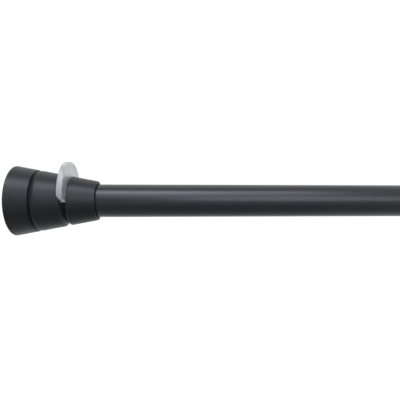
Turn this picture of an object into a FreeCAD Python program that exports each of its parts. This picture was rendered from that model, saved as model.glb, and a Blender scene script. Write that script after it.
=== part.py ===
"""Spring tension rod: two telescoping tubes between two cone-shaped end caps.

The left cap slides on the rod against a coil spring, and a clear horseshoe clip in the
cap's second groove keeps it on. A twist of the thin tube drives a cone into a split
sleeve, which grips the thick tube. The X axis runs along the rod, away from the left
wall, and the clip's tab points up. Lengths are in millimetres.
"""

import FreeCAD, Part
import Sketcher
import math
import os
import re

SIZES = {
    # whole rod, and how far the thin tube is drawn out of its closed place
    "closed_length": 610.0,
    "shown_extension": 40.0,
    # tubes
    "outer_tube_diameter": 19.05,
    "tube_gap": 0.875,
    "tube_wall": 0.7,
    "overlap_when_open": 117.0,
    # cap shell, the same outside at both ends
    "cap_length": 45.6,
    "cap_rim_radius": 19.95,
    "cap_wall": 2.4,
    "cap_edge_chamfer": 0.2,
    "mouth_wall": 1.725,
    "mouth_grip": 1.4,
    "mouth_edge_chamfer": 0.35,
    "mouth_chamfer": 0.9,
    "slide_clearance": 0.1,
    "groove_pitch": 15.4,
    "front_groove_width": 2.6,
    "front_groove_depth": 1.0,
    "front_groove_wall": 0.4,
    "groove_lip_chamfer": 0.12,
    "clip_groove_margin": 0.75,
    "clip_groove_depth": 2.0,
    "clip_groove_front_round": 1.6,
    "clip_groove_back_round": 0.9,
    "guide_wall": 1.6,
    "guide_setback": 5.9,
    "core_floor": 5.0,
    "rib_thickness": 1.4,
    "rib_setback": 3.0,
    # wall pad and the plate that closes the cap
    "pad_thickness": 1.6,
    "pad_standout": 0.4,
    "pad_clearance": 0.2,
    "pad_edge_chamfer": 0.3,
    "pad_groove_depth": 0.4,
    "pad_groove_width": 1.2,
    "pad_groove_count": 2.0,
    "pad_outer_land": 4.4,
    "plate_thickness": 2.5,
    "plate_clearance": 0.05,
    "seat_wall": 2.05,
    "spring_pin_length": 10.0,
    "spring_pin_play": 0.4,
    "spring_ring_wall": 1.2,
    "spring_ring_height": 1.6,
    # horseshoe clip
    "clip_thickness": 2.9,
    "clip_play": 0.05,
    "clip_back_play": 0.75,
    "clip_standout": 4.8,
    "clip_rise": 3.1,
    "clip_arm_drop": 0.8,
    "clip_arm_rise": 2.7,
    "clip_arm_flat": 3.6,
    "clip_neck_play": 0.3,
    "clip_edge_chamfer": 0.3,
    # end bush and its spring
    "cap_travel": 12.0,
    "travel_margin": 0.5,
    "neck_depth": 2.125,
    "neck_wall": 1.3,
    "head_length": 4.0,
    "head_clearance": 0.12,
    "head_chamfer": 0.6,
    "bush_collar": 1.5,
    "bush_grip": 16.0,
    "bush_floor": 3.0,
    "press_clearance": 0.02,
    "spring_wire": 1.6,
    "spring_turns": 8.0,
    "spring_play": 0.4,
    # collar where the thin tube leaves the thick one
    "collar_step": 0.675,
    "collar_length": 2.0,
    "collar_chamfer": 0.5,
    "liner_length": 25.0,
    "stop_gap": 1.0,
    # twist lock on the thin tube's inner end, and its distance from the bush when closed
    "lock_standoff": 79.4,
    "lock_travel": 2.25,
    "lock_flange": 2.0,
    "lock_gap": 0.2,
    "plug_grip": 20.0,
    "sleeve_length": 24.0,
    "sleeve_clearance": 0.22,
    "sleeve_wall": 1.6,
    "sleeve_step": 1.0,
    "sleeve_taper_length": 14.0,
    "sleeve_bore_play": 0.6,
    "slit_width": 2.6,
    "slit_length": 19.0,
    "cone_play": 0.45,
    "cone_head": 3.0,
    "cone_head_clearance": 0.6,
    "cone_nose_setback": 1.0,
    "key_width": 2.0,
    "key_clearance": 0.4,
    "lock_screw_diameter": 6.0,
    "lock_screw_grip": 14.0,
    "lock_screw_tip": 1.5,
    "thread_clearance": 0.06,
    "nut_across_flats": 10.0,
    "nut_height": 3.5,
    "nut_gap": 0.5,
    # fixed end of the thin tube
    "socket_depth": 20.0,
    "socket_clearance": 0.05,
    "end_plug_length": 18.0,
    "cap_screw_diameter": 4.0,
    "cap_screw_length": 15.0,
    "cap_screw_head_diameter": 7.6,
    "cap_screw_head_height": 2.4,
    "cap_screw_head_chamfer": 0.9,
    "cap_screw_play": 0.1,
    "driver_slot_width": 1.0,
    "driver_slot_depth": 1.0,
    "gusset_reach": 9.0,
    "gusset_clearance": 1.7,
}

# places and radii that follow from the sizes; x runs from the wall towards the middle
PLACES = {
    "shown_length": "closed_length + shown_extension",
    "rim_x": "pad_standout",
    "mouth_x": "rim_x + cap_length",
    "plate_x": "pad_thickness",
    "seat_x": "plate_x + plate_thickness",
    "seat_radius": "cap_rim_radius - seat_wall",
    "pad_radius": "seat_radius - pad_clearance",
    "pad_groove_pitch": "(pad_radius - pad_outer_land - pad_groove_width) / pad_groove_count",
    "outer_tube_radius": "outer_tube_diameter / 2",
    "outer_tube_bore": "outer_tube_radius - tube_wall",
    "inner_tube_radius": "outer_tube_bore - tube_gap",
    "inner_tube_bore": "inner_tube_radius - tube_wall",
    "cap_bore": "outer_tube_radius + slide_clearance",
    "cap_mouth_radius": "cap_bore + mouth_wall",
    "cone_slope": "(cap_rim_radius - cap_mouth_radius) / cap_length",
    "guide_x": "seat_x + guide_setback",
    "guide_radius": "cap_bore + guide_wall",
    "outer_tube_x": "mouth_x - mouth_grip",
    "neck_end_x": "outer_tube_x - bush_collar",
    "clip_x": "neck_end_x - travel_margin - cap_travel - clip_thickness",
    "clip_groove_x": "clip_x + clip_thickness / 2",
    "front_groove_x": "clip_groove_x - groove_pitch",
    "slot_x": "clip_x - clip_play",
    "slot_width": "clip_thickness + clip_play + clip_back_play",
    "slot_floor": "clip_arm_drop + clip_play",
    "clip_groove_width": "clip_thickness + 2 * (clip_play + clip_groove_margin)",
    "clip_radius": "cap_rim_radius - cone_slope * (clip_groove_x - rim_x) + clip_standout",
    "clip_opening": "neck_radius + clip_neck_play",
    "clip_flat_reach": "clip_opening + clip_arm_flat",
    "core_end_x": "slot_x - core_floor",
    "head_radius": "outer_tube_radius - head_clearance",
    "neck_radius": "outer_tube_radius - neck_depth",
    "head_x": "slot_x - head_length",
    "bush_end_x": "outer_tube_x + bush_grip",
    "pocket_end_x": "bush_end_x - bush_floor",
    "pocket_radius": "neck_radius - neck_wall",
    "spring_length": "pocket_end_x - seat_x",
    "spring_radius": "pocket_radius - spring_play",
    "spring_mean_radius": "spring_radius - spring_wire / 2",
    "spring_pin_radius": "spring_mean_radius - spring_wire / 2 - spring_pin_play",
    "right_mouth_x": "shown_length - mouth_x",
    "collar_x": "right_mouth_x - shown_extension - stop_gap - collar_length",
    "collar_radius": "outer_tube_radius + collar_step",
    "liner_x": "collar_x - liner_length",
    "socket_x": "mouth_x - socket_depth",
    "inner_tube_end_x": "shown_length - socket_x",
    "closed_lock_x": "bush_end_x + lock_standoff",
    "inner_tube_x": "closed_lock_x + shown_extension",
    "open_length": "closed_length + collar_x - overlap_when_open - closed_lock_x",
    "plug_flange_x": "inner_tube_x - lock_flange",
    "sleeve_end_x": "plug_flange_x - lock_gap",
    "sleeve_x": "sleeve_end_x - sleeve_length",
    "sleeve_radius": "outer_tube_bore - sleeve_clearance",
    "sleeve_mouth_radius": "sleeve_radius - sleeve_wall",
    "lock_screw_radius": "lock_screw_diameter / 2",
    "thread_bore": "lock_screw_radius + thread_clearance",
    "sleeve_bore": "lock_screw_radius + sleeve_bore_play",
    "lock_slope": "(sleeve_mouth_radius - sleeve_bore - sleeve_step) / sleeve_taper_length",
    "cone_nose_x": "sleeve_x + sleeve_taper_length - lock_travel - cone_nose_setback",
    "cone_head_x": "sleeve_x - lock_travel - lock_gap",
    "cone_x": "cone_head_x - cone_head",
    "nut_x": "cone_x - nut_gap - nut_height",
    "lock_screw_x": "nut_x - lock_screw_tip",
    "web_x": "core_end_x",
    "end_plug_radius": "inner_tube_bore - press_clearance",
}


def spelled_out(text):
    """The formula with each place written out and each size as a cell of the sheet."""
    def replacement(found):
        name = found.group()
        if name in PLACES:
            return "(" + spelled_out(PLACES[name]) + ")"
        return "Sizes." + name if name in SIZES else name
    return re.sub(r"[A-Za-z_]+", replacement, text)


def value(text):
    return float(sheet.evalExpression(spelled_out(text)))


def cone_radius(x):
    """The cap's outside radius at a place x."""
    return f"cap_rim_radius - cone_slope * ({x} - rim_x)"


def shell_radius(x):
    """The cap's inside radius at a place x, one wall in from the cone."""
    return f"{cone_radius(x)} - cap_wall"


def sleeve_taper_radius(x):
    """The sleeve's tapered bore at a place x."""
    return f"sleeve_mouth_radius - lock_slope * ({x} - sleeve_x)"


def bind(item, name, text):
    item.setExpression(name, spelled_out(text))


def new_body(label):
    body = doc.addObject("PartDesign::Body", label)
    body.Label = label
    return body


def new_sketch(body, role, shift=None):
    """A sketch on one of the body's own origin planes, moved along its normal by shift."""
    sketch = body.newObject("Sketcher::SketchObject", body.Label + "_sketch")
    plane = next(item for item in body.Origin.OriginFeatures if item.Role == role)
    sketch.AttachmentSupport = [(plane, "")]
    sketch.MapMode = "FlatFace"
    if shift:
        bind(sketch, "AttachmentOffset.Base.z", shift)
    return sketch


def hold(sketch, kind, item, point, text):
    """A distance or radius in a sketch, bound to its formula."""
    where = (item, point) if point else (item,)
    rule = sketch.addConstraint(Sketcher.Constraint(kind, *where, value(text)))
    bind(sketch, f"Constraints[{rule}]", text)


def corner_arc(corner, before, after, radius):
    """The arc that rounds a corner, from the side before it to the side after it."""
    back = (before - corner).normalize()
    on = (after - corner).normalize()
    half_angle = back.getAngle(on) / 2
    start = corner + back * (radius / math.tan(half_angle))
    end = corner + on * (radius / math.tan(half_angle))
    inwards = (back + on).normalize()
    middle = corner + inwards * (radius / math.sin(half_angle) - radius)
    return start, end, Part.Arc(start, middle, end)


def draw_outline(sketch, corners):
    """A closed outline of straight sides. Each corner is held at two formulas, and one
    with a third formula is rounded to that radius, with its sharp corner kept as a point."""
    points = [FreeCAD.Vector(value(corner[0]), value(corner[1]), 0) for corner in corners]
    count = len(points)
    arcs = {}
    for number, corner in enumerate(corners):
        if len(corner) == 3:
            before, after = points[number - 1], points[(number + 1) % count]
            arcs[number] = corner_arc(points[number], before, after, value(corner[2]))
    first_side = sketch.GeometryCount
    for number in range(count):
        following = (number + 1) % count
        start = arcs[number][1] if number in arcs else points[number]
        end = arcs[following][0] if following in arcs else points[following]
        sketch.addGeometry(Part.LineSegment(start, end))
    for number, corner in enumerate(corners):
        side = first_side + number
        side_before = first_side + (number - 1) % count
        if number in arcs:
            start, end, arc = arcs[number]
            curve = sketch.addGeometry(arc)
            point = sketch.addGeometry(Part.Point(points[number]), True)
            near, far = (1, 2) if sketch.getPoint(curve, 1).isEqual(start, 1e-6) else (2, 1)
            sketch.addConstraint(Sketcher.Constraint("Tangent", side_before, 2, curve, near))
            sketch.addConstraint(Sketcher.Constraint("Tangent", side, 1, curve, far))
            sketch.addConstraint(Sketcher.Constraint("PointOnObject", point, 1, side_before))
            sketch.addConstraint(Sketcher.Constraint("PointOnObject", point, 1, side))
            hold(sketch, "Radius", curve, 0, corner[2])
        else:
            point = side
            sketch.addConstraint(Sketcher.Constraint("Coincident", side_before, 2, side, 1))
        hold(sketch, "DistanceX", point, 1, corner[0])
        hold(sketch, "DistanceY", point, 1, corner[1])


def draw_circle(sketch, across, up, radius):
    """A circle held at its centre and radius by formulas."""
    centre = FreeCAD.Vector(value(across), value(up), 0)
    circle = sketch.addGeometry(Part.Circle(centre, FreeCAD.Vector(0, 0, 1), value(radius)))
    hold(sketch, "DistanceX", circle, 3, across)
    hold(sketch, "DistanceY", circle, 3, up)
    hold(sketch, "Radius", circle, 0, radius)


def checked(feature, change):
    """Recompute, and make sure that the feature adds or removes material as it should."""
    before = feature.BaseFeature.Shape.Volume if feature.BaseFeature else 0.0
    doc.recompute()
    after = feature.Shape.Volume
    if (after - before) * change <= 0:
        raise RuntimeError(f"{feature.Name} changed the volume from {before} to {after}")
    return feature


def turned(body, corners):
    """A profile of x and radius, turned round the X axis."""
    sketch = new_sketch(body, "XY_Plane")
    draw_outline(sketch, corners)
    feature = body.newObject("PartDesign::Revolution", body.Label + "_turned")
    feature.Profile = sketch
    feature.ReferenceAxis = (sketch, ["H_Axis"])
    feature.Angle = 360.0
    return checked(feature, 1)


def padded(body, sketch, length, symmetric=False):
    feature = body.newObject("PartDesign::Pad", body.Label + "_pad")
    feature.Profile = sketch
    bind(feature, "Length", length)
    feature.SideType = "Symmetric" if symmetric else "One side"
    return checked(feature, 1)


def pocketed(body, sketch, length, symmetric=False, backwards=False):
    feature = body.newObject("PartDesign::Pocket", body.Label + "_pocket")
    feature.Profile = sketch
    bind(feature, "Length", length)
    feature.SideType = "Symmetric" if symmetric else "One side"
    feature.Reversed = backwards
    return checked(feature, -1)


def repeated_round_x(body, feature, count, change):
    """Copies of a feature spaced evenly round the X axis."""
    pattern = body.newObject("PartDesign::PolarPattern", body.Label + "_pattern")
    pattern.Originals = [feature]
    x_axis = next(item for item in body.Origin.OriginFeatures if item.Role == "X_Axis")
    pattern.Axis = (x_axis, [""])
    pattern.Angle = 360.0
    pattern.Occurrences = count
    body.Tip = pattern
    doc.recompute()
    if (pattern.Shape.Volume - feature.Shape.Volume) * change <= 0:
        raise RuntimeError(f"{pattern.Name} added nothing")
    return pattern


def ring_edges(shape, places):
    """Names of the round edges about the X axis at the given places, as (x, radius)."""
    names = []
    for x, radius in places:
        wanted = (value(x), value(radius))
        for number, edge in enumerate(shape.Edges, 1):
            if not isinstance(edge.Curve, Part.Circle):
                continue
            found = (edge.Curve.Center.x, edge.Curve.Radius)
            if max(abs(a - b) for a, b in zip(found, wanted)) < 1e-4:
                names.append(f"Edge{number}")
    return names


def chamfered(body, places, size):
    """Chamfer the round edges at the given places."""
    base = body.Tip
    edges = ring_edges(base.Shape, places)
    if len(edges) < len(places):
        raise RuntimeError(f"{body.Label}: {len(edges)} edges found for {places}")
    feature = body.newObject("PartDesign::Chamfer", body.Label + "_chamfer")
    feature.Base = (base, edges)
    bind(feature, "Size", size)
    doc.recompute()
    if feature.Shape.isNull() or not feature.Shape.isValid():
        raise RuntimeError(f"{body.Label}: no chamfer at {places}")
    return feature


def at_the_right_wall(body):
    """Turn a piece drawn at the left wall to face the right one."""
    turn = FreeCAD.Rotation(FreeCAD.Vector(0, 0, 1), 180)
    body.Placement = FreeCAD.Placement(FreeCAD.Vector(value("shown_length"), 0, 0), turn)
    bind(body, "Placement.Base.x", "shown_length")


def groove(centre, width, bottom, depth, front_lip=(), back_lip=()):
    """Three corners of a V groove cut into the cone, with a radius for a round lip."""
    start = f"{centre} - {width} / 2"
    end = f"{centre} + {width} / 2"
    return [
        (start, cone_radius(start), *front_lip),
        (bottom, f"{cone_radius(bottom)} - {depth}"),
        (end, cone_radius(end), *back_lip),
    ]


# the front groove has a steep wall on the side of the rim
FRONT_GROOVE = groove(
    "front_groove_x", "front_groove_width",
    "front_groove_x - front_groove_width / 2 + front_groove_wall", "front_groove_depth",
)
CLIP_GROOVE = groove(
    "clip_groove_x", "clip_groove_width", "clip_groove_x", "clip_groove_depth",
    ["clip_groove_front_round"], ["clip_groove_back_round"],
)


def cap_outside():
    """The cone from its rim to its mouth, with both V grooves, seen in profile."""
    return [
        ("rim_x", "seat_radius"),
        ("rim_x", "cap_rim_radius"),
        *FRONT_GROOVE,
        *CLIP_GROOVE,
        ("mouth_x", "cap_mouth_radius"),
    ]


def ease_cap_edges(body):
    """Soften the rim, the mouth and the front groove's lips, as a mould does."""
    chamfered(body, [("rim_x", "cap_rim_radius")], "cap_edge_chamfer")
    chamfered(body, [("mouth_x", "cap_mouth_radius")], "mouth_edge_chamfer")
    chamfered(body, [FRONT_GROOVE[0], FRONT_GROOVE[2]], "groove_lip_chamfer")


def sprung_cap():
    """Cone shell with a guide tube inside, joined by six ribs, and the clip's slot."""
    body = new_body("sprung_cap")
    turned(body, cap_outside() + [
        ("mouth_x", "cap_bore + mouth_chamfer"),
        ("mouth_x - mouth_chamfer", "cap_bore"),
        ("guide_x", "cap_bore"),
        ("guide_x", "guide_radius"),
        ("core_end_x", "guide_radius"),
        ("core_end_x", shell_radius("core_end_x")),
        ("seat_x", shell_radius("seat_x")),
        ("seat_x", "seat_radius"),
    ])
    ease_cap_edges(body)
    rib_start = "guide_x + rib_setback"
    sketch = new_sketch(body, "XY_Plane")
    draw_outline(sketch, [
        (rib_start, "guide_radius - guide_wall / 2"),
        ("core_end_x", "guide_radius - guide_wall / 2"),
        ("core_end_x", f"{shell_radius('core_end_x')} + cap_wall / 4"),
        (rib_start, f"{shell_radius(rib_start)} + cap_wall / 4"),
    ])
    rib = padded(body, sketch, "rib_thickness", symmetric=True)
    repeated_round_x(body, rib, 6, 1)
    sketch = new_sketch(body, "XZ_Plane")
    draw_outline(sketch, [
        ("slot_x", "-slot_floor"),
        ("slot_x + slot_width", "-slot_floor"),
        ("slot_x + slot_width", "cap_rim_radius"),
        ("slot_x", "cap_rim_radius"),
    ])
    pocketed(body, sketch, "2 * cap_rim_radius", symmetric=True)
    return body


def retaining_clip():
    """Horseshoe of clear plastic whose arms straddle the end bush's neck."""
    body = new_body("retaining_clip")
    bind(body, "Placement.Base.x", "clip_x")
    sketch = new_sketch(body, "YZ_Plane")
    draw_circle(sketch, "0", "clip_rise", "clip_radius")
    padded(body, sketch, "clip_thickness")
    reach = "2 * clip_radius"
    slope = "(clip_arm_rise + clip_arm_drop) / (clip_radius - clip_flat_reach)"
    outer_rise = f"{slope} * ({reach} - clip_flat_reach) - clip_arm_drop"
    sketch = new_sketch(body, "YZ_Plane")
    draw_outline(sketch, [
        (f"-{reach}", outer_rise),
        ("-clip_flat_reach", "-clip_arm_drop"),
        ("clip_flat_reach", "-clip_arm_drop"),
        (reach, outer_rise),
        (reach, f"-{reach}"),
        (f"-{reach}", f"-{reach}"),
    ])
    pocketed(body, sketch, "clip_thickness", backwards=True)
    sketch = new_sketch(body, "YZ_Plane")
    draw_circle(sketch, "0", "0", "clip_opening")
    pocketed(body, sketch, "clip_thickness", backwards=True)
    sketch = new_sketch(body, "YZ_Plane")
    draw_outline(sketch, [
        ("-clip_opening", "0"),
        ("clip_opening", "0"),
        ("clip_opening", "-clip_radius"),
        ("-clip_opening", "-clip_radius"),
    ])
    pocketed(body, sketch, "clip_thickness", backwards=True)
    rims = [("0", "clip_radius"), ("clip_thickness", "clip_radius")]
    chamfered(body, rims, "clip_edge_chamfer")
    return body


def stop_bush():
    """Plug in the thick tube's end: a head and a neck for the clip, and a spring pocket."""
    body = new_body("stop_bush")
    grip_radius = "outer_tube_bore - press_clearance"
    turned(body, [
        ("head_x", "pocket_radius"),
        ("head_x", "head_radius - head_chamfer"),
        ("head_x + head_chamfer", "head_radius"),
        ("slot_x", "head_radius"),
        ("slot_x", "neck_radius"),
        ("neck_end_x", "neck_radius"),
        ("neck_end_x", "head_radius"),
        ("outer_tube_x", "head_radius"),
        ("outer_tube_x", grip_radius),
        ("bush_end_x - head_chamfer", grip_radius),
        ("bush_end_x", f"{grip_radius} - head_chamfer"),
        ("bush_end_x", "0"),
        ("pocket_end_x", "0"),
        ("pocket_end_x", "pocket_radius"),
    ])
    return body


def six_sided(centre, flat, point):
    """Corners of a regular hexagon with a flat above and below its centre."""
    return [
        (f"{point} / 2", f"{centre} + {flat}"),
        (f"-{point} / 2", f"{centre} + {flat}"),
        (f"-{point}", centre),
        (f"-{point} / 2", f"{centre} - {flat}"),
        (f"{point} / 2", f"{centre} - {flat}"),
        (point, centre),
    ]


def cap_spring():
    """Compression spring with flat ground ends, from the plate to the bush's pocket.
    A six-sided section stands for its round wire."""
    body = new_body("cap_spring")
    bind(body, "Placement.Base.x", "seat_x")
    sketch = new_sketch(body, "XY_Plane")
    draw_outline(sketch, six_sided("spring_mean_radius", "spring_wire / 2", "spring_wire / sqrt(3)"))
    coil = body.newObject("PartDesign::AdditiveHelix", "cap_spring_coil")
    coil.Profile = sketch
    coil.ReferenceAxis = (sketch, ["H_Axis"])
    coil.Mode = "height-turns-angle"
    bind(coil, "Height", "spring_length")
    bind(coil, "Turns", "spring_turns")
    checked(coil, 1)
    for shift, backwards in (("0", False), ("spring_length", True)):
        sketch = new_sketch(body, "YZ_Plane", shift)
        draw_circle(sketch, "0", "0", "2 * spring_radius")
        pocketed(body, sketch, "spring_wire", backwards=backwards)
    return body


def face_plate(label, spring_seat):
    """Disc that closes a cap's wide end; the left one also locates the spring."""
    body = new_body(label)
    plate_radius = "seat_radius - plate_clearance"
    corners = [("plate_x", "0"), ("plate_x", plate_radius), ("seat_x", plate_radius)]
    if spring_seat:
        ring_end = "seat_x + spring_ring_height"
        corners += [
            ("seat_x", "pocket_radius + spring_ring_wall"),
            (ring_end, "pocket_radius + spring_ring_wall"),
            (ring_end, "pocket_radius"),
            ("seat_x", "pocket_radius"),
            ("seat_x", "spring_pin_radius"),
            ("seat_x + spring_pin_length - spring_pin_play", "spring_pin_radius"),
            ("seat_x + spring_pin_length", "spring_pin_radius - spring_pin_play"),
            ("seat_x + spring_pin_length", "0"),
        ]
    else:
        corners += [("seat_x", "0")]
    turned(body, corners)
    return body


def wall_pad(label):
    """Rubber disc with shallow rings moulded into its wall face."""
    body = new_body(label)
    corners = [("0", "0")]
    for ring in range(1, int(SIZES["pad_groove_count"]) + 1):
        inner = f"{ring} * pad_groove_pitch"
        corners += [
            ("0", inner),
            ("pad_groove_depth", inner),
            ("pad_groove_depth", f"{inner} + pad_groove_width"),
            ("0", f"{inner} + pad_groove_width"),
        ]
    corners += [("0", "pad_radius"), ("plate_x", "pad_radius"), ("plate_x", "0")]
    turned(body, corners)
    chamfered(body, [("0", "pad_radius")], "pad_edge_chamfer")
    return body


def plain_tube(label, start, end, radius, bore):
    body = new_body(label)
    turned(body, [(start, bore), (start, radius), (end, radius), (end, bore)])
    return body


def mouth_bush():
    """Collar and liner that centre the thin tube in the thick one."""
    body = new_body("mouth_bush")
    bore = "inner_tube_radius + slide_clearance"
    liner_radius = "outer_tube_bore - press_clearance"
    turned(body, [
        ("liner_x", bore),
        ("liner_x", liner_radius),
        ("collar_x", liner_radius),
        ("collar_x", "collar_radius"),
        ("collar_x + collar_length", "collar_radius"),
        ("collar_x + collar_length", bore),
    ])
    chamfered(body, [("collar_x + collar_length", "collar_radius")], "collar_chamfer")
    return body


def lock_plug():
    """Plug in the thin tube's inner end, which holds the lock's screw."""
    body = new_body("lock_plug")
    grip_radius = "inner_tube_bore - press_clearance"
    turned(body, [
        ("plug_flange_x", "thread_bore"),
        ("plug_flange_x", "inner_tube_radius"),
        ("inner_tube_x", "inner_tube_radius"),
        ("inner_tube_x", grip_radius),
        ("inner_tube_x + plug_grip", grip_radius),
        ("inner_tube_x + plug_grip", "0"),
        ("plug_flange_x + lock_screw_grip", "0"),
        ("plug_flange_x + lock_screw_grip", "thread_bore"),
    ])
    return body


def lock_screw():
    """Plain rod with pointed ends; its thread is too fine to model here."""
    body = new_body("lock_screw")
    end = "plug_flange_x + lock_screw_grip"
    point = "lock_screw_radius / 4"
    turned(body, [
        ("lock_screw_x", "0"),
        ("lock_screw_x", f"lock_screw_radius - {point}"),
        (f"lock_screw_x + {point}", "lock_screw_radius"),
        (f"{end} - {point}", "lock_screw_radius"),
        (end, f"lock_screw_radius - {point}"),
        (end, "0"),
    ])
    return body


def lock_sleeve():
    """Split sleeve that the cone spreads; four slits make it springy."""
    body = new_body("lock_sleeve")
    taper_end = "sleeve_x + sleeve_taper_length"
    turned(body, [
        ("sleeve_x", "sleeve_mouth_radius"),
        ("sleeve_x", "sleeve_radius"),
        ("sleeve_end_x", "sleeve_radius"),
        ("sleeve_end_x", "sleeve_bore"),
        (taper_end, "sleeve_bore"),
        (taper_end, sleeve_taper_radius(taper_end)),
    ])
    sketch = new_sketch(body, "XY_Plane")
    draw_outline(sketch, [
        ("sleeve_x", "0"),
        ("sleeve_x + slit_length", "0"),
        ("sleeve_x + slit_length", "2 * sleeve_radius"),
        ("sleeve_x", "2 * sleeve_radius"),
    ])
    slit = pocketed(body, sketch, "slit_width", symmetric=True)
    repeated_round_x(body, slit, 4, -1)
    return body


def lock_cone():
    """Threaded cone with a key that rides in one slit of the sleeve."""
    body = new_body("lock_cone")
    head_radius = "outer_tube_bore - cone_head_clearance"
    base = f"{sleeve_taper_radius('cone_head_x')} - cone_play"
    nose = f"{sleeve_taper_radius('cone_nose_x')} - cone_play"
    turned(body, [
        ("cone_x", "thread_bore"),
        ("cone_x", head_radius),
        ("cone_head_x", head_radius),
        ("cone_head_x", base),
        ("cone_nose_x", nose),
        ("cone_nose_x", "thread_bore"),
    ])
    sketch = new_sketch(body, "XY_Plane")
    key_start = "cone_head_x - cone_head / 2"
    draw_outline(sketch, [
        (key_start, "thread_bore + key_clearance"),
        ("cone_nose_x", "thread_bore + key_clearance"),
        ("cone_nose_x", "sleeve_radius - key_clearance"),
        (key_start, "sleeve_radius - key_clearance"),
    ])
    padded(body, sketch, "key_width", symmetric=True)
    return body


def lock_nut():
    """Hexagon nut that keeps the cone on the screw."""
    body = new_body("lock_nut")
    bind(body, "Placement.Base.x", "nut_x")
    sketch = new_sketch(body, "YZ_Plane")
    draw_outline(sketch, six_sided("0", "nut_across_flats / 2", "nut_across_flats / sqrt(3)"))
    draw_circle(sketch, "0", "0", "thread_bore")
    padded(body, sketch, "nut_height")
    return body


def right_cap():
    """Fixed cap: the same cone, with a socket for the thin tube and six gussets."""
    body = new_body("right_cap")
    bore = "inner_tube_radius + socket_clearance"
    hole = "cap_screw_diameter / 2 + cap_screw_play"
    turned(body, cap_outside() + [
        ("mouth_x", f"{bore} + mouth_chamfer"),
        ("mouth_x - mouth_chamfer", bore),
        ("socket_x", bore),
        ("socket_x", hole),
        ("web_x", hole),
        ("web_x", shell_radius("web_x")),
        ("seat_x", shell_radius("seat_x")),
        ("seat_x", "seat_radius"),
    ])
    ease_cap_edges(body)
    front = "web_x - gusset_reach"
    foot = "cap_screw_head_diameter / 2 + gusset_clearance"
    sketch = new_sketch(body, "XY_Plane")
    draw_outline(sketch, [
        ("web_x + cap_wall / 4", foot),
        ("web_x + cap_wall / 4", f"{shell_radius('web_x')} + cap_wall / 4"),
        (front, f"{shell_radius(front)} + cap_wall / 4"),
        (front, f"{shell_radius(front)} - cap_wall / 2"),
        ("web_x", foot),
    ])
    gusset = padded(body, sketch, "rib_thickness", symmetric=True)
    repeated_round_x(body, gusset, 6, 1)
    at_the_right_wall(body)
    return body


def end_plug():
    """Plug in the thin tube's outer end, which takes the cap's screw."""
    body = new_body("end_plug")
    hole = "cap_screw_diameter / 2 + thread_clearance"
    hole_end = "web_x + cap_screw_length + cap_screw_play"
    turned(body, [
        ("socket_x", hole),
        ("socket_x", "end_plug_radius"),
        ("socket_x + end_plug_length", "end_plug_radius"),
        ("socket_x + end_plug_length", "0"),
        (hole_end, "0"),
        (hole_end, hole),
    ])
    at_the_right_wall(body)
    return body


def cap_screw():
    """Pan-head screw through the cap's web into the end plug."""
    body = new_body("cap_screw")
    head_x = "web_x - cap_screw_head_height"
    head_radius = "cap_screw_head_diameter / 2"
    shank_radius = "cap_screw_diameter / 2"
    end = "web_x + cap_screw_length"
    turned(body, [
        (head_x, "0"),
        (head_x, head_radius),
        ("web_x", head_radius),
        ("web_x", shank_radius),
        (f"{end} - {shank_radius}", shank_radius),
        (end, f"{shank_radius} / 4"),
        (end, "0"),
    ])
    chamfered(body, [(head_x, head_radius)], "cap_screw_head_chamfer")
    sketch = new_sketch(body, "XY_Plane")
    draw_outline(sketch, [
        (head_x, "-cap_screw_head_diameter"),
        (f"{head_x} + driver_slot_depth", "-cap_screw_head_diameter"),
        (f"{head_x} + driver_slot_depth", "cap_screw_head_diameter"),
        (head_x, "cap_screw_head_diameter"),
    ])
    pocketed(body, sketch, "driver_slot_width", symmetric=True)
    at_the_right_wall(body)
    return body


def right_end(body):
    at_the_right_wall(body)
    return body


doc = FreeCAD.newDocument("spring_tension_rod")
sheet = doc.addObject("Spreadsheet::Sheet", "Sizes")
for row, (alias, size) in enumerate(SIZES.items(), 1):
    sheet.set(f"A{row}", alias)
    sheet.set(f"B{row}", str(size))
    sheet.setAlias(f"B{row}", alias)
doc.recompute()

pieces = [
    wall_pad("left_wall_pad"),
    face_plate("left_face_plate", spring_seat=True),
    sprung_cap(),
    retaining_clip(),
    cap_spring(),
    stop_bush(),
    plain_tube("outer_tube", "outer_tube_x", "collar_x", "outer_tube_radius", "outer_tube_bore"),
    mouth_bush(),
    plain_tube(
        "inner_tube", "inner_tube_x", "inner_tube_end_x", "inner_tube_radius", "inner_tube_bore"
    ),
    lock_plug(),
    lock_screw(),
    lock_sleeve(),
    lock_cone(),
    lock_nut(),
    end_plug(),
    cap_screw(),
    right_cap(),
    right_end(face_plate("right_face_plate", spring_seat=False)),
    right_end(wall_pad("right_wall_pad")),
]
doc.recompute()

for item in doc.Objects:
    if {"Invalid", "Error"} & set(item.State):
        raise RuntimeError(f"{item.Name} is {item.State}")
for piece in pieces:
    if piece.Shape.isNull() or not piece.Shape.isValid():
        raise RuntimeError(f"{piece.Label} has no valid shape")

os.makedirs("parts", exist_ok=True)
for piece in pieces:
    piece.Shape.exportStep(f"parts/{piece.Label}.step")
    print(piece.Label, len(piece.Shape.Solids), round(piece.Shape.Volume, 1))
for name in ("closed_length", "shown_length", "open_length"):
    print(name, round(value(name), 2))
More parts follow.
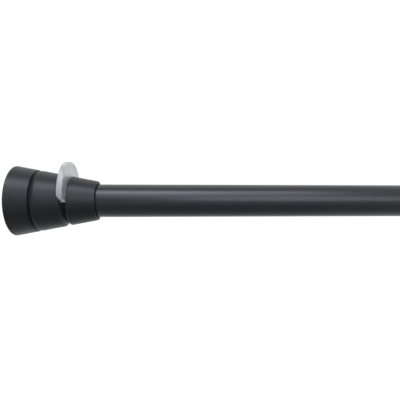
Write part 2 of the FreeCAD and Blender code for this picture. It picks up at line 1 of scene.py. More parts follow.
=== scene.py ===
# Spring tension rod: camera, light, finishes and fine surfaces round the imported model.
# Shapes are worked out in mm in the CAD's frame: x runs along the rod from the left wall,
# z points up, and r is the distance from the rod's axis. addPiece turns mm into metres.
import math
import bmesh
import bpy
import numpy as np
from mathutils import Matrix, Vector


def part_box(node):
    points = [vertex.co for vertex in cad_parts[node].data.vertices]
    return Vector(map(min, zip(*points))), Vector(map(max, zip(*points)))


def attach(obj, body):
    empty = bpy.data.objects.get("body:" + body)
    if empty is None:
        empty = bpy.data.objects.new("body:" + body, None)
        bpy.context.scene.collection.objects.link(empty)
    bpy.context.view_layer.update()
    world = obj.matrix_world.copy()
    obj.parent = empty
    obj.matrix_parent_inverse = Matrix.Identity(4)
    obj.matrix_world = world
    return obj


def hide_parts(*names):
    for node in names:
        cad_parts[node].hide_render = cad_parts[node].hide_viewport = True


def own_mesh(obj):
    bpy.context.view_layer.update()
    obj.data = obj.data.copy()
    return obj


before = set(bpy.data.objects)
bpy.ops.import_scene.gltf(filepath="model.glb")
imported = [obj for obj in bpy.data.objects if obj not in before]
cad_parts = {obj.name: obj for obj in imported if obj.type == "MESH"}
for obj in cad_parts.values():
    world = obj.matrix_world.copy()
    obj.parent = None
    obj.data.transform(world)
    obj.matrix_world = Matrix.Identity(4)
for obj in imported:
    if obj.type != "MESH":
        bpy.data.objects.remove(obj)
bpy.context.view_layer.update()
scene = bpy.context.scene
print("frame loaded:", len(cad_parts), "nodes")


# Small helpers
def toLinear(code):
    # sRGB hex to linear: c / 12.92 up to 0.04045, and ((c + 0.055) / 1.055) ^ 2.4 above it
    shares = np.array([int(code[i:i + 2], 16) for i in (1, 3, 5)]) / 255
    linear = np.where(shares <= 0.04045, shares / 12.92, ((shares + 0.055) / 1.055) ** 2.4)
    return (*linear.tolist(), 1.0)


def addNode(tree, kind, settings=None, **inputs):
    # One node with its settings. An input is a value, or a socket to link from. It is named
    # as in Blender with _ for a space, or in0, in1 and so on by its place.
    node = tree.nodes.new(kind)
    for key, setting in (settings or {}).items():
        setattr(node, key, setting)
    for key, given in inputs.items():
        socket = node.inputs[int(key[2:]) if key.startswith("in") else key.replace("_", " ")]
        if isinstance(given, bpy.types.NodeSocket):
            tree.links.new(given, socket)
        else:
            socket.default_value = given
    return node


def boxOf(node):
    # a node's lowest and highest corners in mm
    low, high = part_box(node)
    return np.array(low) * 1000, np.array(high) * 1000


# Camera
photoView = {
    "place": (0.0915, -0.2139, 0.00045),    # m
    "turn": (90.0, 0.0, -3.69),             # degrees: level, a little to the right
    "lens": 32.436,                         # mm on a 36 mm sensor
    "clipStart": 0.01,                      # m
}
cameraData = bpy.data.cameras.new("photoCamera")
cameraData.lens = photoView["lens"]
cameraData.clip_start = photoView["clipStart"]
camera = bpy.data.objects.new("photoCamera", cameraData)
camera.location = photoView["place"]
camera.rotation_euler = [math.radians(angle) for angle in photoView["turn"]]
scene.collection.objects.link(camera)
scene.camera = camera
scene.view_settings.view_transform = "Standard"


# Light
studio = {
    "airFill": 0.18,              # strength of the air's light on the object
    "floorDrop": 0.25,            # m below the rod's axis
    "floorReach": 12.0,           # m from the frame's origin to each edge
    "floorColour": "#A8A8A7",
    # The floor glows nearly white where it is seen or mirrored, but for a pool of painted
    # shade in front of the rod, where the glow drops to grey; the rod mirrors this painted
    # shade, which keeps its lower half dark. Each of the pool's stops is (distance from its
    # middle as a share of the pool's reach, strength).
    "poolCentre": (0.12, -0.30, 0),    # m
    "poolStretch": (1.5, 1, 1),        # half as long again along the rod
    "poolReach": 2.5,                  # m
    "poolStops": ((0.07, 0.08), (0.26, 0.80), (0.5, 0.9), (1.0, 0.97)),
    "lampColour": "#F4F7FF",
    "lamps": {
        # aim on the rod's axis (mm from the left wall), azimuth (degrees, 0 in front and 90
        # to the right), elevation (degrees), distance, width and height (m), watts
        "keySoftbox": (50, -15, 60, 0.9, 0.50, 0.40, 3.7),
        "wideSoftbox": (50, 8, 45, 0.9, 0.90, 0.80, 5.0),
        "frontSoftbox": (150, 18, 12, 0.9, 0.70, 0.40, 3.1),
        "rightSoftbox": (50, 34, 55, 0.9, 0.35, 0.35, 1.1),
        "backSoftbox": (150, 180, 65, 1.2, 0.80, 0.40, 0.8),
    },
}


def seenOrMirrored(tree):
    # 1 where a camera, glossy or transmission ray arrives, and 0 where light is gathered
    path = addNode(tree, "ShaderNodeLightPath")
    either = addNode(tree, "ShaderNodeMath", {"operation": "MAXIMUM"},
                     in0=path.outputs["Is Camera Ray"], in1=path.outputs["Is Glossy Ray"])
    return addNode(tree, "ShaderNodeMath", {"operation": "MAXIMUM"},
                   in0=either.outputs[0], in1=path.outputs["Is Transmission Ray"]).outputs[0]


world = bpy.data.worlds.new("studioAir")
scene.world = world
world.use_nodes = True
airTree = world.node_tree
airTree.nodes.clear()
airLevel = addNode(airTree, "ShaderNodeMapRange", Value=seenOrMirrored(airTree),
                   To_Min=studio["airFill"], To_Max=1.0)
air = addNode(airTree, "ShaderNodeBackground", Color=toLinear("#FFFFFF"),
              Strength=airLevel.outputs[0])
addNode(airTree, "ShaderNodeOutputWorld", Surface=air.outputs[0])

floorMaterial = bpy.data.materials.new("paleFloor")
floorMaterial.use_nodes = True
floorTree = floorMaterial.node_tree
floorTree.nodes.clear()
floorMatt = addNode(floorTree, "ShaderNodeBsdfDiffuse", Color=toLinear(studio["floorColour"]))
# The floor's glow, dimmed by a ramp to a pool of painted shade in front of the rod
floorPlace = addNode(floorTree, "ShaderNodeTexCoord").outputs["Object"]
paintedShadePlace = addNode(floorTree, "ShaderNodeMapping", {"vector_type": "TEXTURE"},
                    Vector=floorPlace, Location=studio["poolCentre"],
                    Scale=studio["poolStretch"])
paintedShadeDistance = addNode(floorTree, "ShaderNodeVectorMath", {"operation": "LENGTH"},
                       in0=paintedShadePlace.outputs[0])
paintedShadeShare = addNode(floorTree, "ShaderNodeMath", {"operation": "DIVIDE"},
                    in0=paintedShadeDistance.outputs["Value"], in1=studio["poolReach"])
paintedShadeRamp = addNode(floorTree, "ShaderNodeValToRGB", Fac=paintedShadeShare.outputs[0])
paintedShadeRamp.color_ramp.interpolation = "EASE"
poolStops = paintedShadeRamp.color_ramp.elements
while len(poolStops) < len(studio["poolStops"]):
    poolStops.new(1.0)
for stop, (share, level) in zip(poolStops, studio["poolStops"]):
    stop.position, stop.color = share, (level, level, level, 1)
floorLevel = addNode(floorTree, "ShaderNodeMath", {"operation": "MULTIPLY"},
                     in0=seenOrMirrored(floorTree), in1=paintedShadeRamp.outputs[0])
floorGlow = addNode(floorTree, "ShaderNodeEmission", Strength=floorLevel.outputs[0])
floorSum = addNode(floorTree, "ShaderNodeAddShader",
                   in0=floorMatt.outputs[0], in1=floorGlow.outputs[0])
addNode(floorTree, "ShaderNodeOutputMaterial", Surface=floorSum.outputs[0])

reach, floorZ = studio["floorReach"], -studio["floorDrop"]
floorMesh = bpy.data.meshes.new("paleFloor")
floorMesh.from_pydata([(-reach, -reach, floorZ), (reach, -reach, floorZ),
                       (reach, reach, floorZ), (-reach, reach, floorZ)], [], [(0, 1, 2, 3)])
floorMesh.materials.append(floorMaterial)
floor = bpy.data.objects.new("paleFloor", floorMesh)
scene.collection.objects.link(floor)

for name, setting in studio["lamps"].items():
    aimX, azimuth, elevation, distance, width, height, watts = setting
    lampData = bpy.data.lights.new(name, "AREA")
    lampData.shape = "RECTANGLE"
    lampData.size, lampData.size_y = width, height
    lampData.energy = watts
    lampData.color = toLinear(studio["lampColour"])[:3]
    lamp = bpy.data.objects.new(name, lampData)
    turn, rise = math.radians(azimuth), math.radians(elevation)
    heading = np.array([math.cos(rise) * math.sin(turn), -math.cos(rise) * math.cos(turn),
                        math.sin(rise)])
    lamp.location = np.array([aimX / 1000, 0, 0]) + heading * distance
    lamp.rotation_mode = "QUATERNION"
    lamp.rotation_quaternion = Vector(heading.tolist()).to_track_quat("Z", "Y")
    scene.collection.objects.link(lamp)
print("camera, floor and", len(studio["lamps"]), "lamps placed")


# Finishes
noiseBand = (0.3, 0.7)   # nearly all of a noise lies between these


def makeFinish(name, tones, roughness, relief, **constants):
    # A material with three noises: tones is (dark, light, size, detail), roughness is
    # (lowest, highest, size, detail) and relief is (height, size, detail), with the noise's
    # size and the height in mm. A real relief finer than 0.3 mm is drawn at 0.3 to 0.5 mm,
    # because none shows below that. constants are the same all over, so they are set on the
    # shader's own sockets.
    material = bpy.data.materials.new(name)
    material.use_nodes = True
    tree = material.node_tree
    tree.nodes.clear()
    where = addNode(tree, "ShaderNodeTexCoord").outputs["Object"]
    toneNoise, roughnessNoise, reliefNoise = [
        addNode(tree, "ShaderNodeTexNoise", Vector=where, Scale=1000 / size,
                Detail=detail).outputs["Fac"]
        for *_, size, detail in (tones, roughness, relief)]
    colour = addNode(tree, "ShaderNodeValToRGB", Fac=toneNoise)
    for stop, position, tone in zip(colour.color_ramp.elements, noiseBand, tones[:2]):
        stop.position, stop.color = position, toLinear(tone)
    span = addNode(tree, "ShaderNodeMapRange", Value=roughnessNoise,
                   From_Min=noiseBand[0], From_Max=noiseBand[1],
                   To_Min=roughness[0], To_Max=roughness[1])
    bump = addNode(tree, "ShaderNodeBump", Height=reliefNoise, Distance=relief[0] / 1000)
    shader = addNode(tree, "ShaderNodeBsdfPrincipled", Base_Color=colour.outputs[0],
                     Roughness=span.outputs[0], Normal=bump.outputs[0], **constants)
    addNode(tree, "ShaderNodeOutputMaterial", Surface=shader.outputs[0])
    return material


# Satin powder coat on steel tube: nearly black with a cool cast, a soft broad highlight and
# a faint orange peel about 1.2 mm across and a few micrometres high.
powderCoat = makeFinish(
    "satinPowderCoatSteel", tones=("#131415", "#161718", 9.0, 3),
    roughness=(0.28, 0.32, 4.0, 3), relief=(0.003, 1.2, 3),
    Specular_IOR_Level=0.36, Specular_Tint=toLinear("#F0F4FF"))

# Black ABS moulded in a spark-eroded tool: a deep black, duller than the coated tube.
# The real grain is 0.05 mm; it is drawn at 0.3 mm so that it shows at all.
mouldedAbs = makeFinish(
    "sparkTexturedMouldedAbs", tones=("#0F1011", "#131415", 6.0, 3),
    roughness=(0.36, 0.41, 2.5, 3), relief=(0.004, 0.3, 2),
    Specular_IOR_Level=0.255, Specular_Tint=toLinear("#F0F4FF"))

# Clear polypropylene moulded with a frosted skin: light comes through it softened and grey.
# The frosting is finer than 0.1 mm; it is drawn at 0.35 mm.
frostedPp = makeFinish(
    "frostedMouldedPolypropylene", tones=("#E8E8EC", "#F3F3F3", 5.0, 3),
    roughness=(0.30, 0.36, 2.0, 3), relief=(0.0006, 0.35, 2),
    IOR=1.49, Transmission_Weight=0.75,
    Subsurface_Weight=0.8, Subsurface_Scale=0.004, Subsurface_Radius=(1.0, 1.0, 1.0))

# Moulded rubber: matt, dark grey, with a fine leathery skin.
mouldedRubber = makeFinish(
    "mattMouldedRubber", tones=("#1A1A1B", "#202021", 3.0, 3),
    roughness=(0.75, 0.85, 1.5, 3), relief=(0.01, 0.4, 3), Specular_IOR_Level=0.3)

# Black polypropylene plate with the faint swirl of its filling: greyer than the cap.
mouldedPlate = makeFinish(
    "smoothMouldedPolypropylene", tones=("#121214", "#18181A", 5.0, 4),
    roughness=(0.4, 0.5, 3.0, 3), relief=(0.003, 0.5, 3), Specular_IOR_Level=0.35)

# Natural nylon: creamy, slightly see-through, with a low gloss.
naturalNylon = makeFinish(
    "naturalMouldedNylon", tones=("#D3D0C4", "#DEDBD0", 4.0, 3),
    roughness=(0.4, 0.5, 2.0, 3), relief=(0.004, 0.4, 3),
    IOR=1.53, Subsurface_Weight=0.25, Subsurface_Scale=0.002,
    Subsurface_Radius=(1.0, 0.9, 0.7))

# Black acetal collar: the smoothest of the black mouldings, so its highlight is sharpest.
blackAcetal = makeFinish(
    "smoothMouldedAcetal", tones=("#0B0B0D", "#0F0F11", 3.0, 3),
    roughness=(0.28, 0.34, 2.0, 3), relief=(0.002, 0.5, 3), Specular_IOR_Level=0.25)

# Drawn spring steel wire: grey metal with a dull, oily sheen. Its drawing marks are far
# finer than the 0.3 mm specks that stand for them.
drawnWire = makeFinish(
    "drawnSpringSteel", tones=("#7C7C80", "#96969A", 1.5, 3),
    roughness=(0.28, 0.42, 0.8, 3), relief=(0.002, 0.3, 3), Metallic=1.0)

# Bright zinc plating: pale bluish metal with a fine crystal mottle, whose crystals of under
# 0.1 mm are drawn at 0.4 to 0.8 mm.
zincPlate = makeFinish(
    "brightZincPlatedSteel", tones=("#A9ADB3", "#C0C4C9", 0.8, 3),
    roughness=(0.25, 0.38, 0.5, 3), relief=(0.002, 0.4, 3), Metallic=1.0)
print("finishes made")


# Shapes
rodLength = 650.0        # mm from wall to wall
meshRules = {
    "mergeWithin": 1e-7,     # m between points that become one
    "sharpFrom": 38,         # degrees between faces that keep a sharp edge
    "sameWithin": 1e-5,      # mm between points of a line that count as one
}


def roundCorners(corners, steps=4):
    # Each corner (x, r, radius) becomes an arc in steps that touches both sides: it starts
    # radius * tan(turn / 2) before the corner, and at a share s of it the heading has
    # turned by s * turn. A point radius / 4 outside each end keeps flats flat when shaded.
    corners = np.array(corners, float)
    place, radius = corners[:, :2], corners[:, 2:3]
    into = place - np.roll(place, 1, axis=0)
    into /= np.linalg.norm(into, axis=1, keepdims=True)
    out = np.roll(into, -1, axis=0)
    left = np.stack([-into[:, 1], into[:, 0]], axis=1)
    turn = np.arctan2((out * left).sum(1), (out * into).sum(1))[:, None]
    tangent = radius * np.abs(np.tan(turn / 2))
    start = place - into * tangent
    heading = turn * np.linspace(0, 1, steps + 1)
    bend = radius * np.sign(turn)
    arc = (start[:, None]
           + (bend * np.sin(heading))[..., None] * into[:, None]
           + (bend * (1 - np.cos(heading)))[..., None] * left[:, None])
    before = start - into * radius / 4
    after = place + out * (tangent + radius / 4)
    line = np.concatenate([before[:, None], arc, after[:, None]], axis=1).reshape(-1, 2)
    gap = np.linalg.norm(line - np.roll(line, 1, axis=0), axis=1)
    return line[gap > meshRules["sameWithin"]]


def mirrored(line):
    # a line at the left wall taken to the right one: x becomes the rod's length less x
    return np.stack([rodLength - line[:, 0], line[:, 1]], axis=1)[::-1]


def cutAt(line, x):
    # the closed line with a point added wherever it crosses the plane x, and none where it
    # has a point there already
    onward = np.roll(line, -1, axis=0)
    crossing = np.flatnonzero((line[:, 0] - x) * (onward[:, 0] - x) < -1e-9)
    share = (x - line[crossing, 0]) / (onward[crossing, 0] - line[crossing, 0])
    added = line[crossing] + share[:, None] * (onward - line)[crossing]
    return np.insert(line, crossing + 1, added, axis=0)


def gridFaces(rows, columns, closed=False, flipped=False):
    # Faces between neighbours on a grid whose columns run round; closed joins its last row
    # to its first, and flipped turns the faces over.
    row = np.arange(rows if closed else rows - 1)[:, None]
    column = np.arange(columns)[None, :]
    nextRow, nextColumn = (row + 1) % rows, (column + 1) % columns
    faces = np.stack([row * columns + column, nextRow * columns + column,
                      nextRow * columns + nextColumn, row * columns + nextColumn], axis=-1)
    return faces[..., [0, 3, 2, 1]] if flipped else faces


def turnedGrid(line, columns=192, closed=True, slide=None):
    # A line (x, r) carried round the x axis: y = r cos a, z = r sin a, with a in even
    # steps, less slide * cos a. A line that runs anticlockwise faces outwards.
    rows = len(line)
    angle = np.broadcast_to(np.arange(columns) * 2 * math.pi / columns, (rows, columns))
    if slide is not None:
        angle = angle - slide[:, None] * np.cos(angle)
    x, r = np.broadcast_to(line[:, :1], angle.shape), line[:, 1:]
    points = np.stack([x, r * np.cos(angle), r * np.sin(angle)], axis=-1).reshape(-1, 3)
    return points, gridFaces(rows, columns, closed)


def radialBoxes(count, thickness, section):
    # A four-cornered section (x, r), padded by half the thickness each way and turned to
    # count even angles: r points outwards at angle a, and the padding lies across it.
    section = np.array(section, float)
    angle = np.arange(count)[:, None, None] * 2 * math.pi / count
    across = np.array([-0.5, 0.5])[None, :, None] * thickness
    x = np.broadcast_to(section[:, 0], (count, 2, 4))
    y = section[:, 1] * np.cos(angle) - across * np.sin(angle)
    z = section[:, 1] * np.sin(angle) + across * np.cos(angle)
    points = np.stack([x, y, z], axis=-1).reshape(-1, 3)
    # corners 0 to 3 lie on one side of a box and 4 to 7 on the other
    sides = np.array([[3, 2, 1, 0], [4, 5, 6, 7], [5, 4, 0, 1], [6, 5, 1, 2],
                      [7, 6, 2, 3], [4, 7, 3, 0]])
    faces = (np.arange(count)[:, None, None] * 8 + sides).reshape(-1, 4)
    return points, faces


def addPiece(name, points, faces, finish, body, slot, node):
    # a mesh in metres at the origin, merged where it closes, smooth but for sharp edges
    if isinstance(faces, np.ndarray):
        faces = faces.reshape(-1, 4).tolist()
    mesh = bpy.data.meshes.new(name)
    mesh.from_pydata((points / 1000).tolist(), [], faces)
    merged = bmesh.new()
    merged.from_mesh(mesh)
    bmesh.ops.remove_doubles(merged, verts=merged.verts, dist=meshRules["mergeWithin"])
    merged.to_mesh(mesh)
    merged.free()
    mesh.shade_smooth()
    mesh.set_sharp_from_angle(angle=math.radians(meshRules["sharpFrom"]))
    mesh.materials.append(finish)
    piece = bpy.data.objects.new(name, mesh)
    scene.collection.objects.link(piece)
    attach(piece, body)
    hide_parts(node)
    print("made", name, len(mesh.polygons), "faces")
    return piece


# End caps
capLow, capHigh = boxOf("sprung_cap")
capSizes = {
    "rimX": capLow[0], "rimRadius": 19.95, "rimRound": 0.25,
    "mouthX": capHigh[0], "mouthRadius": 11.35, "mouthRound": 0.4,
    # the bore's chamfer at the mouth, and the radii of its two ends
    "chamfer": 0.9, "chamferRounds": (0.3, 0.15),
    "wall": 2.4, "seatX": 4.1, "seatRadius": 17.9, "seatRound": 0.2,
    "webX": 22.65, "webFillet": 0.6,
    # start, bottom, end, depth, and the radii of the front lip, the bottom and the back lip
    "frontGroove": (12.1, 12.5, 14.5, 1.1, 0.12, 0.1, 3.0),
    "clipGroove": (27.45, 29.15, 31.3, 2.0, 0.9, 0.2, 1.3),
    # ribs and gussets, and how far they sink into the web and the shell
    "ribThickness": 1.4, "ribCount": 6, "webSink": 0.2, "shellSink": 0.6,
}
coneSlope = ((capSizes["rimRadius"] - capSizes["mouthRadius"])
             / (capSizes["mouthX"] - capSizes["rimX"]))


def coneRadius(x):
    # the cone's outside, a straight slope from rim to mouth
    return capSizes["rimRadius"] - coneSlope * (x - capSizes["rimX"])


def shellRadius(x):
    # the cone's inside, one wall under the outside
    return coneRadius(x) - capSizes["wall"]


def grooveCorners(groove):
    # the V's back lip, bottom and front lip, each with its radius, from the mouth backwards
    start, bottom, end, depth, frontRound, bottomRound, backRound = groove
    return [(end, coneRadius(end), backRound),
            (bottom, coneRadius(bottom) - depth, bottomRound),
            (start, coneRadius(start), frontRound)]


def capLine(bore, inside):
    # the cap's closed outline: inner corners, then the mouth, both grooves, rim and seat
    size = capSizes
    return roundCorners(inside + [
        (size["mouthX"] - size["chamfer"], bore, size["chamferRounds"][0]),
        (size["mouthX"], bore + size["chamfer"], size["chamferRounds"][1]),
        (size["mouthX"], size["mouthRadius"], size["mouthRound"]),
        *grooveCorners(size["clipGroove"]),
        *grooveCorners(size["frontGroove"]),
        (size["rimX"], size["rimRadius"], size["rimRound"]),
        (size["rimX"], size["seatRadius"], size["seatRound"]),
        (size["seatX"], size["seatRadius"], 0),
        (size["seatX"], shellRadius(size["seatX"]), size["seatRound"]),
        (size["webX"], shellRadius(size["webX"]), size["webFillet"]),
    ])


leftCap = {
    "bore": 9.625, "guideX": 10.0, "guideRadius": 11.225, "guideRound": 0.2,
    "ribX": 13.0, "guideSink": 0.4,    # the ribs' front, and their foot in the guide tube
    "slotStart": 27.65, "slotEnd": 31.35, "slotFloor": 0.85,    # the floor: below the axis
    "columns": 256,
}


def leftCapMesh():
    # The turned outline, with its columns slid by asin(floor / r) so that one lies on each
    # floor of the slot. The slot's faces are left out, and two flat walls and two floors
    # join the bore to the cone there. Six ribs hold the guide tube.
    size, columns = leftCap, leftCap["columns"]
    line = capLine(size["bore"], [
        (size["guideX"], size["guideRadius"], size["guideRound"]),
        (size["guideX"], size["bore"], size["guideRound"])])
    line = np.concatenate([line, [(capSizes["webX"], size["guideRadius"])]])
    for x in (size["slotStart"], size["slotEnd"]):
        line = cutAt(line, x)
    points, faces = turnedGrid(line, columns, slide=np.arcsin(size["slotFloor"] / line[:, 1]))
    middle = (line[:, 0] + np.roll(line[:, 0], -1)) / 2
    cut = (middle > size["slotStart"]) & (middle < size["slotEnd"])
    half = columns // 2
    kept = np.ones(faces.shape[:2], bool)
    kept[cut, :half] = False
    sets = faces[kept].tolist()
    # the slot's rows run along the bore from its start to its end, then back on the cone
    rows = np.flatnonzero(cut | np.roll(cut, 1))
    onBore = np.isclose(line[rows, 1], size["bore"])
    boreRows, coneRows = rows[onBore], rows[~onBore]
    column = np.arange(half)
    walls = ((boreRows[0], coneRows[-1], 1), (boreRows[-1], coneRows[0], -1))
    for boreRow, coneRow, way in walls:
        low, high = boreRow * columns + column, coneRow * columns + column
        sets += np.stack([low, high, high + 1, low + 1], axis=-1)[:, ::way].tolist()
    for side, way in ((0, 1), (half, -1)):
        sets.append((rows * columns + side)[::way].tolist())
    foot, web = size["guideRadius"] - size["guideSink"], capSizes["webX"]
    ribs, ribFaces = radialBoxes(capSizes["ribCount"], capSizes["ribThickness"], [
        (size["ribX"], foot), (web + capSizes["webSink"], foot),
        (web + capSizes["webSink"], shellRadius(web) + capSizes["shellSink"]),
        (size["ribX"], shellRadius(size["ribX"]) + capSizes["shellSink"])])
    return np.concatenate([points, ribs]), sets + (ribFaces + len(points)).tolist()


addPiece("leftCapShell", *leftCapMesh(), mouldedAbs, "left_cap", "cap_plastic", "sprung_cap")

rightCap = {
    "bore": 8.0, "socketX": 26.0, "socketRound": 0.3, "hole": 2.1, "holeRound": 0.2,
    # gussets: where they start, their depth there and the radius that they reach at the web
    "gussetX": 13.65, "gussetLip": 1.2, "gussetFoot": 5.5,
}


def rightCapMesh():
    # the same outline with a blind socket and six gussets, mirrored to the other wall
    size = rightCap
    line = capLine(size["bore"], [
        (capSizes["webX"], size["hole"], 0),
        (size["socketX"], size["hole"], size["holeRound"]),
        (size["socketX"], size["bore"], size["socketRound"])])
    points, faces = turnedGrid(mirrored(line))
    front, web = size["gussetX"], capSizes["webX"]
    gussets, gussetFaces = radialBoxes(capSizes["ribCount"], capSizes["ribThickness"], [
        (front, shellRadius(front) - size["gussetLip"]),
        (web + capSizes["webSink"], size["gussetFoot"]),
        (web + capSizes["webSink"], shellRadius(web) + capSizes["shellSink"]),
        (front, shellRadius(front) + capSizes["shellSink"])])
    gussets[:, :2] = [rodLength, 0] - gussets[:, :2]    # a half turn, so the faces stay out
    return (np.concatenate([points, gussets]),
            faces.reshape(-1, 4).tolist() + (gussetFaces + len(points)).tolist())


addPiece("rightCapShell", *rightCapMesh(), mouldedAbs, "inner", "cap_plastic", "right_cap")

# Horseshoe clip
clipLow, clipHigh = boxOf("retaining_clip")
clip = {
    "x": clipLow[0], "thickness": clipHigh[0] - clipLow[0], "top": clipHigh[2],
    "rise": 3.1,                # centre of the outer arc above the axis
    "opening": 7.7,             # radius
    # each arm ends in a flat below the axis, and slopes from it to the outer arc's end
    "armDrop": 0.8, "armFlat": 3.6, "armRise": 2.7,
    "armRound": 0.5, "armBlend": 2.0, "innerRound": 0.4, "edgeRound": 0.35,
    "support": 0.15,            # a ring this far inside the edge keeps the flats flat
    "outerSteps": 96, "innerSteps": 60, "edgeSteps": 4,
}


def clipMesh():
    # The outline (y, z) is an arc over a round opening, joined by the arms' sloped ends.
    # A rounded edge is carried round it: at a share t of a quarter turn the outline lies
    # edge (1 - sin t) inwards and edge (1 - cos t) in from the flat face.
    size = clip
    radius, opening, drop = size["top"] - size["rise"], size["opening"], size["armDrop"]
    across = math.sqrt(radius ** 2 - (size["rise"] - size["armRise"]) ** 2)
    low = math.atan2(size["armRise"] - size["rise"], across)
    over = np.linspace(low, math.pi - low, size["outerSteps"] + 1)
    under = np.linspace(math.pi, 0, size["innerSteps"] + 1)
    outer = np.stack([radius * np.cos(over), radius * np.sin(over) + size["rise"], 0 * over],
                     axis=1)
    outer[[0, -1], 2] = size["armRound"]
    inner = np.stack([opening * np.cos(under), opening * np.sin(under), 0 * under], axis=1)
    foot = opening + size["armFlat"]
    outline = roundCorners(np.concatenate([
        outer,
        [(-foot, -drop, size["armBlend"]), (-opening, -drop, size["innerRound"])],
        inner,
        [(opening, -drop, size["innerRound"]), (foot, -drop, size["armBlend"])],
    ]))
    along = np.roll(outline, -1, axis=0) - np.roll(outline, 1, axis=0)
    along /= np.linalg.norm(along, axis=1, keepdims=True)
    outwards = np.stack([along[:, 1], -along[:, 0]], axis=1)
    turn = np.linspace(0, math.pi / 2, size["edgeSteps"] + 1)
    edge = size["edgeRound"]
    inset = np.concatenate([[edge + size["support"]], edge * (1 - np.sin(turn))])
    depth = np.concatenate([[0], edge * (1 - np.cos(turn))])
    inset = np.concatenate([inset, inset[::-1]])
    depth = np.concatenate([depth, size["thickness"] - depth[::-1]])
    rings, count = len(inset), len(outline)
    yz = outline[None] - inset[:, None, None] * outwards[None]
    x = np.broadcast_to((size["x"] + depth)[:, None, None], (rings, count, 1))
    points = np.concatenate([x, yz], axis=-1).reshape(-1, 3)
    faces = gridFaces(rings, count, flipped=True)
    flat = np.arange(count)
    ends = [flat[::-1].tolist(), (flat + (rings - 1) * count).tolist()]
    return points, faces.reshape(-1, 4).tolist() + ends


addPiece("horseshoeClip", *clipMesh(), frostedPp, "clip", "clip_plastic", "retaining_clip")

# Tubes
thickTube = {"start": 44.6, "end": 561.0, "bore": 8.825, "radius": 9.525,
             "boreRound": 0.1, "round": 0.2}
thinTube = {"start": 180.0, "end": 624.0, "bore": 7.25, "radius": 7.95,
            "boreRound": 0.1, "round": 0.2}


def tubeMesh(size):
    # a wall's four corners carried round the axis
    return turnedGrid(roundCorners([
        (size["start"], size["bore"], size["boreRound"]),
        (size["end"], size["bore"], size["boreRound"]),
        (size["end"], size["radius"], size["round"]),
        (size["start"], size["radius"], size["round"])]))


addPiece("thickTube", *tubeMesh(thickTube), powderCoat, "outer", "tube_steel", "outer_tube")
addPiece("thinTube", *tubeMesh(thinTube), powderCoat, "inner", "tube_steel", "inner_tube")

# Mouth collar: a flange outside the thick tube, with a liner in it for the thin one
collar = {"start": 536.0, "end": 563.0, "flangeX": 561.0,
          "bore": 8.05, "linerRadius": 8.805, "flangeRadius": 10.2,
          # the radii of the corners, in the order of collarMesh
          "rounds": (0.1, 0.25, 0.5, 0.2, 0, 0.3)}


def collarMesh():
    # the liner's bore, the flange's face and back, and the liner's outside, carried round
    size = collar
    places = [(size["start"], size["bore"]), (size["end"], size["bore"]),
              (size["end"], size["flangeRadius"]), (size["flangeX"], size["flangeRadius"]),
              (size["flangeX"], size["linerRadius"]), (size["start"], size["linerRadius"])]
    return turnedGrid(roundCorners(np.column_stack([places, size["rounds"]])))


addPiece("mouthCollar", *collarMesh(), blackAcetal, "outer", "collar_plastic", "mouth_bush")

# End bush: a plug in the thick tube, a flange on its end, the clip's neck and a head, with
# the spring's pocket in them
bush = {"headX": 23.65, "neckX": 27.65, "flangeX": 43.1, "tubeX": 44.6, "end": 60.6,
        "headRadius": 9.405, "neckRadius": 7.4, "plugRadius": 8.805,
        "pocketRadius": 6.1, "pocketEnd": 57.6,
        # the radii of the corners, in the order of bushMesh
        "rounds": (0, 0.6, 0, 0.15, 0.3, 0.2, 0.2, 0.2, 0.6, 0.3, 0.3, 0)}


def bushMesh():
    # the outside from the plug's end to the head, then the pocket, carried round the axis
    size = bush
    places = [(size["end"], 0), (size["end"], size["plugRadius"]),
              (size["tubeX"], size["plugRadius"]), (size["tubeX"], size["headRadius"]),
              (size["flangeX"], size["headRadius"]), (size["flangeX"], size["neckRadius"]),
              (size["neckX"], size["neckRadius"]), (size["neckX"], size["headRadius"]),
              (size["headX"], size["headRadius"]), (size["headX"], size["pocketRadius"]),
              (size["pocketEnd"], size["pocketRadius"]), (size["pocketEnd"], 0)]
    line = roundCorners(np.column_stack([places, size["rounds"]]))
    return turnedGrid(line, closed=False)


addPiece("endBush", *bushMesh(), naturalNylon, "outer", "bush_nylon", "stop_bush")

# Wall pads
pad = {"thickness": 1.6, "radius": 17.7, "frontRound": 0.35, "backRound": 0.15,
       "grooves": (12.1, 6.05), "grooveWidth": 1.2, "grooveDepth": 0.4, "grooveRound": 0.12}


def padLine():
    # the back, the rim and the front with its square grooves, from the axis to the axis
    size = pad
    corners = [(size["thickness"], 0, 0),
               (size["thickness"], size["radius"], size["backRound"]),
               (0, size["radius"], size["frontRound"])]
    for start in size["grooves"]:
        end = start + size["grooveWidth"]
        corners += [(x, r, size["grooveRound"]) for x, r in (
            (0, end), (size["grooveDepth"], end), (size["grooveDepth"], start), (0, start))]
    return roundCorners(corners + [(0, 0, 0)])


addPiece("leftPad", *turnedGrid(padLine(), closed=False), mouldedRubber, "left_cap",
         "pad_rubber", "left_wall_pad")
addPiece("rightPad", *turnedGrid(mirrored(padLine()), closed=False), mouldedRubber, "inner",
         "pad_rubber", "right_wall_pad")

# Spring
coil = {
    "start": 4.1, "end": 57.6, "meanRadius": 4.9, "wire": 1.6, "turns": 8.0,
    "closedPitch": 1.7,
    "closedTurns": 0.7, "easeTurns": 0.6,    # at each end, before and while the pitch opens
    "stepsPerTurn": 48, "roundSteps": 14,
    "compressed": 0.7757,                    # share of its length left when pressed in 12 mm
}


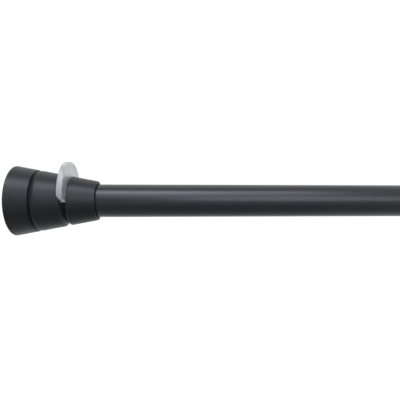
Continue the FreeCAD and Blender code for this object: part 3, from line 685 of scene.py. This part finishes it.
def coilMesh():
    # A helix whose pitch eases from closed end turns to the open middle; a circle stands
    # across it, spanned by the outward radius and the wire's second normal.
    size = coil
    share = np.linspace(0, 1, int(size["turns"] * size["stepsPerTurn"]) + 1)
    turns = share * size["turns"]
    fromEnd = np.minimum(turns, size["turns"] - turns)
    ease = np.clip((fromEnd - size["closedTurns"]) / size["easeTurns"], 0, 1)
    ease = ease * ease * (3 - 2 * ease)
    travel = size["end"] - size["start"] - size["wire"]
    step = size["turns"] / (len(share) - 1)
    closedLength = size["closedPitch"] * (1 - ease[1:]).sum() * step
    openPitch = (travel - closedLength) / (ease[1:].sum() * step)
    pitch = size["closedPitch"] + (openPitch - size["closedPitch"]) * ease[1:]
    x = size["start"] + size["wire"] / 2 + np.concatenate([[0], np.cumsum(pitch * step)])
    angle = turns * 2 * math.pi
    outward = np.stack([0 * angle, np.cos(angle), np.sin(angle)], axis=1)
    centre = outward * size["meanRadius"]
    centre[:, 0] = x
    along = np.gradient(centre, axis=0)
    along /= np.linalg.norm(along, axis=1, keepdims=True)
    second = np.cross(along, outward)
    around = np.arange(size["roundSteps"]) * 2 * math.pi / size["roundSteps"]
    points = centre[:, None] + size["wire"] / 2 * (
        np.cos(around)[None, :, None] * outward[:, None]
        + np.sin(around)[None, :, None] * second[:, None])
    rows, columns = points.shape[:2]
    faces = gridFaces(rows, columns, flipped=True)
    last = (rows - 1) * columns
    ends = [np.arange(columns)[::-1].tolist(), (np.arange(columns) + last).tolist()]
    return points.reshape(-1, 3), faces.reshape(-1, 4).tolist() + ends


spring = addPiece("coilSpring", *coilMesh(), drawnWire, "left_cap", "spring_steel",
                  "cap_spring")
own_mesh(spring)

# Lock screw
screw = {"start": 142.85, "end": 192.0, "radius": 3.0, "depth": 0.5, "pitch": 1.5,
         "point": 0.75,         # how much thinner each end is
         "columns": 32, "stepsPerPitch": 10}


def screwMesh():
    # r = radius - depth * |2 frac(x / pitch - a / turn) - 1|, kept below a short cone at
    # each end; both ends close in a pole.
    size, columns = screw, screw["columns"]
    length = size["end"] - size["start"]
    steps = int(length / size["pitch"] * size["stepsPerPitch"])
    x = np.linspace(0, length, steps + 1)[:, None]
    angle = np.arange(columns)[None] * 2 * math.pi / columns
    phase = (x / size["pitch"] - angle / (2 * math.pi)) % 1
    thread = size["radius"] - size["depth"] * np.abs(2 * phase - 1)
    cone = size["radius"] - size["point"] + np.minimum(x, length - x)
    r = np.minimum(thread, cone)
    x = np.broadcast_to(x + size["start"], r.shape)
    rings = np.stack([x, r * np.cos(angle), r * np.sin(angle)], axis=-1)
    poles = np.zeros((2, 1, columns, 3))
    poles[0, ..., 0], poles[1, ..., 0] = size["start"], size["end"]
    rings = np.concatenate([poles[1], rings[::-1], poles[0]])
    return rings.reshape(-1, 3), gridFaces(len(rings), columns)


addPiece("lockScrewThread", *screwMesh(), zincPlate, "inner", "fastener_steel", "lock_screw")

# Carried-over CAD nodes
keptNodes = {
    "left_face_plate": mouldedPlate, "right_face_plate": mouldedPlate,
    "lock_sleeve": naturalNylon, "lock_cone": naturalNylon, "lock_plug": naturalNylon,
    "end_plug": naturalNylon, "lock_nut": zincPlate, "cap_screw": zincPlate,
}
for node, finish in keptNodes.items():
    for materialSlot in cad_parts[node].material_slots:
        materialSlot.material = finish
print("CAD nodes finished:", len(keptNodes))
